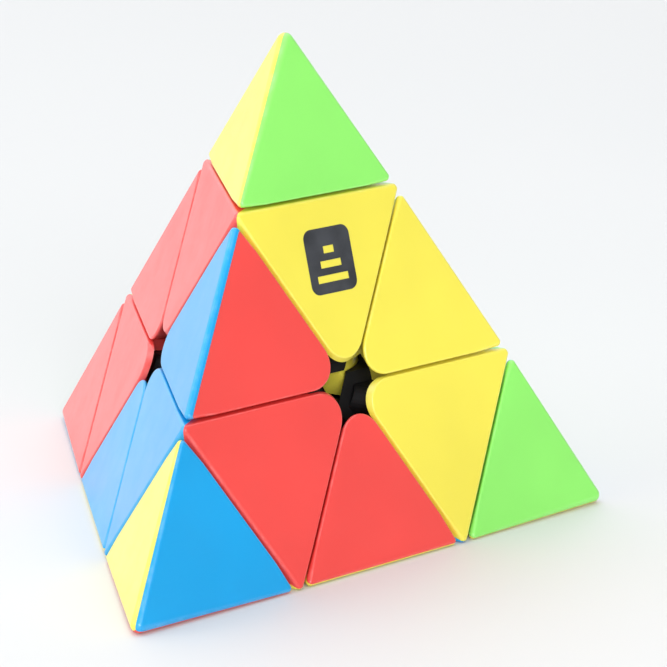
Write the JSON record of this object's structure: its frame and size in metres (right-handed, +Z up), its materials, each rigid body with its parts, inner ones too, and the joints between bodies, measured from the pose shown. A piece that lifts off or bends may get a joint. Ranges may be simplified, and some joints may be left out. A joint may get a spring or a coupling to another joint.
{
  "type": "pyramid twisty puzzle",
  "caption": "Pyramid-shaped twisty puzzle: corner layers and tips turn on a spring-loaded four-armed core, with one-piece coloured tiles and a soft satin finish.",
  "frame": {"origin": "middle of the core, where the four turning axes meet, which is the centre of the pyramid", "axes": "+Z up through the top corner, +X along the front bottom edge towards the right corner, +Y towards the back corner; the front face looks towards -Y"},
  "size_m": [0.096, 0.0834, 0.0788],
  "materials": {
    "black_plastic": "moulded matte black plastic",
    "yellow_plastic": "satin moulded plastic, coloured through",
    "green_plastic": "satin moulded plastic, coloured through",
    "red_plastic": "satin moulded plastic, coloured through",
    "blue_plastic": "satin moulded plastic, coloured through",
    "badge_print": "printed dark grey",
    "screw_steel": "zinc-plated steel",
    "spring_steel": "bright spring wire",
    "brass": "machined brass"
  },
  "bodies": {
    "core": {"core": "black_plastic", "core_inserts": "brass", "axial_screws": "screw_steel", "axial_springs": "spring_steel", "spring_washers": "screw_steel"},
    "top_axial": {"top_axial_frame": "black_plastic", "top_axial_front_tile": "yellow_plastic", "top_axial_left_tile": "red_plastic", "top_axial_right_tile": "green_plastic", "top_badge": "badge_print"},
    "left_axial": {"left_axial_frame": "black_plastic", "left_axial_front_tile": "red_plastic", "left_axial_left_tile": "blue_plastic", "left_axial_base_tile": "yellow_plastic"},
    "right_axial": {"right_axial_frame": "black_plastic", "right_axial_front_tile": "yellow_plastic", "right_axial_right_tile": "green_plastic", "right_axial_base_tile": "blue_plastic"},
    "back_axial": {"back_axial_frame": "black_plastic", "back_axial_left_tile": "red_plastic", "back_axial_right_tile": "green_plastic", "back_axial_base_tile": "blue_plastic"},
    "top_tip": {"top_tip_stem": "black_plastic", "top_tip_front_tile": "green_plastic", "top_tip_left_tile": "yellow_plastic", "top_tip_right_tile": "red_plastic"},
    "left_tip": {"left_tip_stem": "black_plastic", "left_tip_front_tile": "blue_plastic", "left_tip_left_tile": "yellow_plastic", "left_tip_base_tile": "red_plastic"},
    "right_tip": {"right_tip_stem": "black_plastic", "right_tip_front_tile": "green_plastic", "right_tip_right_tile": "blue_plastic", "right_tip_base_tile": "yellow_plastic"},
    "back_tip": {"back_tip_stem": "black_plastic", "back_tip_left_tile": "red_plastic", "back_tip_right_tile": "green_plastic", "back_tip_base_tile": "blue_plastic"},
    "top_left_edge": {"top_left_edge_foot": "black_plastic", "top_left_edge_front_tile": "red_plastic", "top_left_edge_left_tile": "blue_plastic"},
    "top_right_edge": {"top_right_edge_foot": "yellow_plastic", "top_right_edge_front_tile": "yellow_plastic", "top_right_edge_right_tile": "green_plastic"},
    "top_back_edge": {"top_back_edge_foot": "black_plastic", "top_back_edge_left_tile": "red_plastic", "top_back_edge_right_tile": "green_plastic"},
    "left_right_edge": {"left_right_edge_foot": "black_plastic", "left_right_edge_front_tile": "red_plastic", "left_right_edge_base_tile": "yellow_plastic"},
    "left_back_edge": {"left_back_edge_foot": "black_plastic", "left_back_edge_left_tile": "blue_plastic", "left_back_edge_base_tile": "yellow_plastic"},
    "right_back_edge": {"right_back_edge_foot": "black_plastic", "right_back_edge_right_tile": "green_plastic", "right_back_edge_base_tile": "blue_plastic"}
  },
  "joints": [
    {"name": "top_layer_turn", "type": "hinge", "parent": "core", "child": "top_axial", "pos_m": [0, 0, 0], "axis": [0, 0, 1], "range_deg": [-240, 120]},
    {"name": "left_layer_turn", "type": "hinge", "parent": "core", "child": "left_axial", "pos_m": [0, 0, 0], "axis": [-0.8165, -0.4714, -0.3333], "range_deg": [-240, 120]},
    {"name": "right_layer_turn", "type": "hinge", "parent": "core", "child": "right_axial", "pos_m": [0, 0, 0], "axis": [0.8165, -0.4714, -0.3333], "range_deg": [-240, 120]},
    {"name": "back_layer_turn", "type": "hinge", "parent": "core", "child": "back_axial", "pos_m": [0, 0, 0], "axis": [0, 0.9428, -0.3333], "range_deg": [-240, 120]},
    {"name": "top_tip_turn", "type": "hinge", "parent": "top_axial", "child": "top_tip", "pos_m": [0, 0, 0], "axis": [0, 0, 1], "continuous": true},
    {"name": "left_tip_turn", "type": "hinge", "parent": "left_axial", "child": "left_tip", "pos_m": [0, 0, 0], "axis": [-0.8165, -0.4714, -0.3333], "continuous": true},
    {"name": "right_tip_turn", "type": "hinge", "parent": "right_axial", "child": "right_tip", "pos_m": [0, 0, 0], "axis": [0.8165, -0.4714, -0.3333], "continuous": true},
    {"name": "back_tip_turn", "type": "hinge", "parent": "back_axial", "child": "back_tip", "pos_m": [0, 0, 0], "axis": [0, 0.9428, -0.3333], "continuous": true},
    {"name": "top_left_edge_turn", "type": "hinge", "parent": "top_axial", "child": "top_left_edge", "pos_m": [0, 0, 0], "axis": [-0.8165, -0.4714, -0.3333], "range_deg": [-240, 120]},
    {"name": "top_right_edge_turn", "type": "hinge", "parent": "top_axial", "child": "top_right_edge", "pos_m": [0, 0, 0], "axis": [0.8165, -0.4714, -0.3333], "range_deg": [-240, 120]},
    {"name": "top_back_edge_turn", "type": "hinge", "parent": "top_axial", "child": "top_back_edge", "pos_m": [0, 0, 0], "axis": [0, 0.9428, -0.3333], "range_deg": [-240, 120]},
    {"name": "left_right_edge_turn", "type": "hinge", "parent": "left_axial", "child": "left_right_edge", "pos_m": [0, 0, 0], "axis": [0.8165, -0.4714, -0.3333], "range_deg": [-240, 120]},
    {"name": "right_back_edge_turn", "type": "hinge", "parent": "right_axial", "child": "right_back_edge", "pos_m": [0, 0, 0], "axis": [0, 0.9428, -0.3333], "range_deg": [-240, 120]},
    {"name": "left_back_edge_turn", "type": "hinge", "parent": "back_axial", "child": "left_back_edge", "pos_m": [0, 0, 0], "axis": [-0.8165, -0.4714, -0.3333], "range_deg": [-240, 120]}
  ],
  "couplings": [
    {"joint": "top_left_edge_turn", "follows": "left_layer_turn", "ratio": 1},
    {"joint": "top_right_edge_turn", "follows": "right_layer_turn", "ratio": 1},
    {"joint": "top_back_edge_turn", "follows": "back_layer_turn", "ratio": 1},
    {"joint": "left_right_edge_turn", "follows": "right_layer_turn", "ratio": 1},
    {"joint": "right_back_edge_turn", "follows": "back_layer_turn", "ratio": 1},
    {"joint": "left_back_edge_turn", "follows": "left_layer_turn", "ratio": 1}
  ]
}
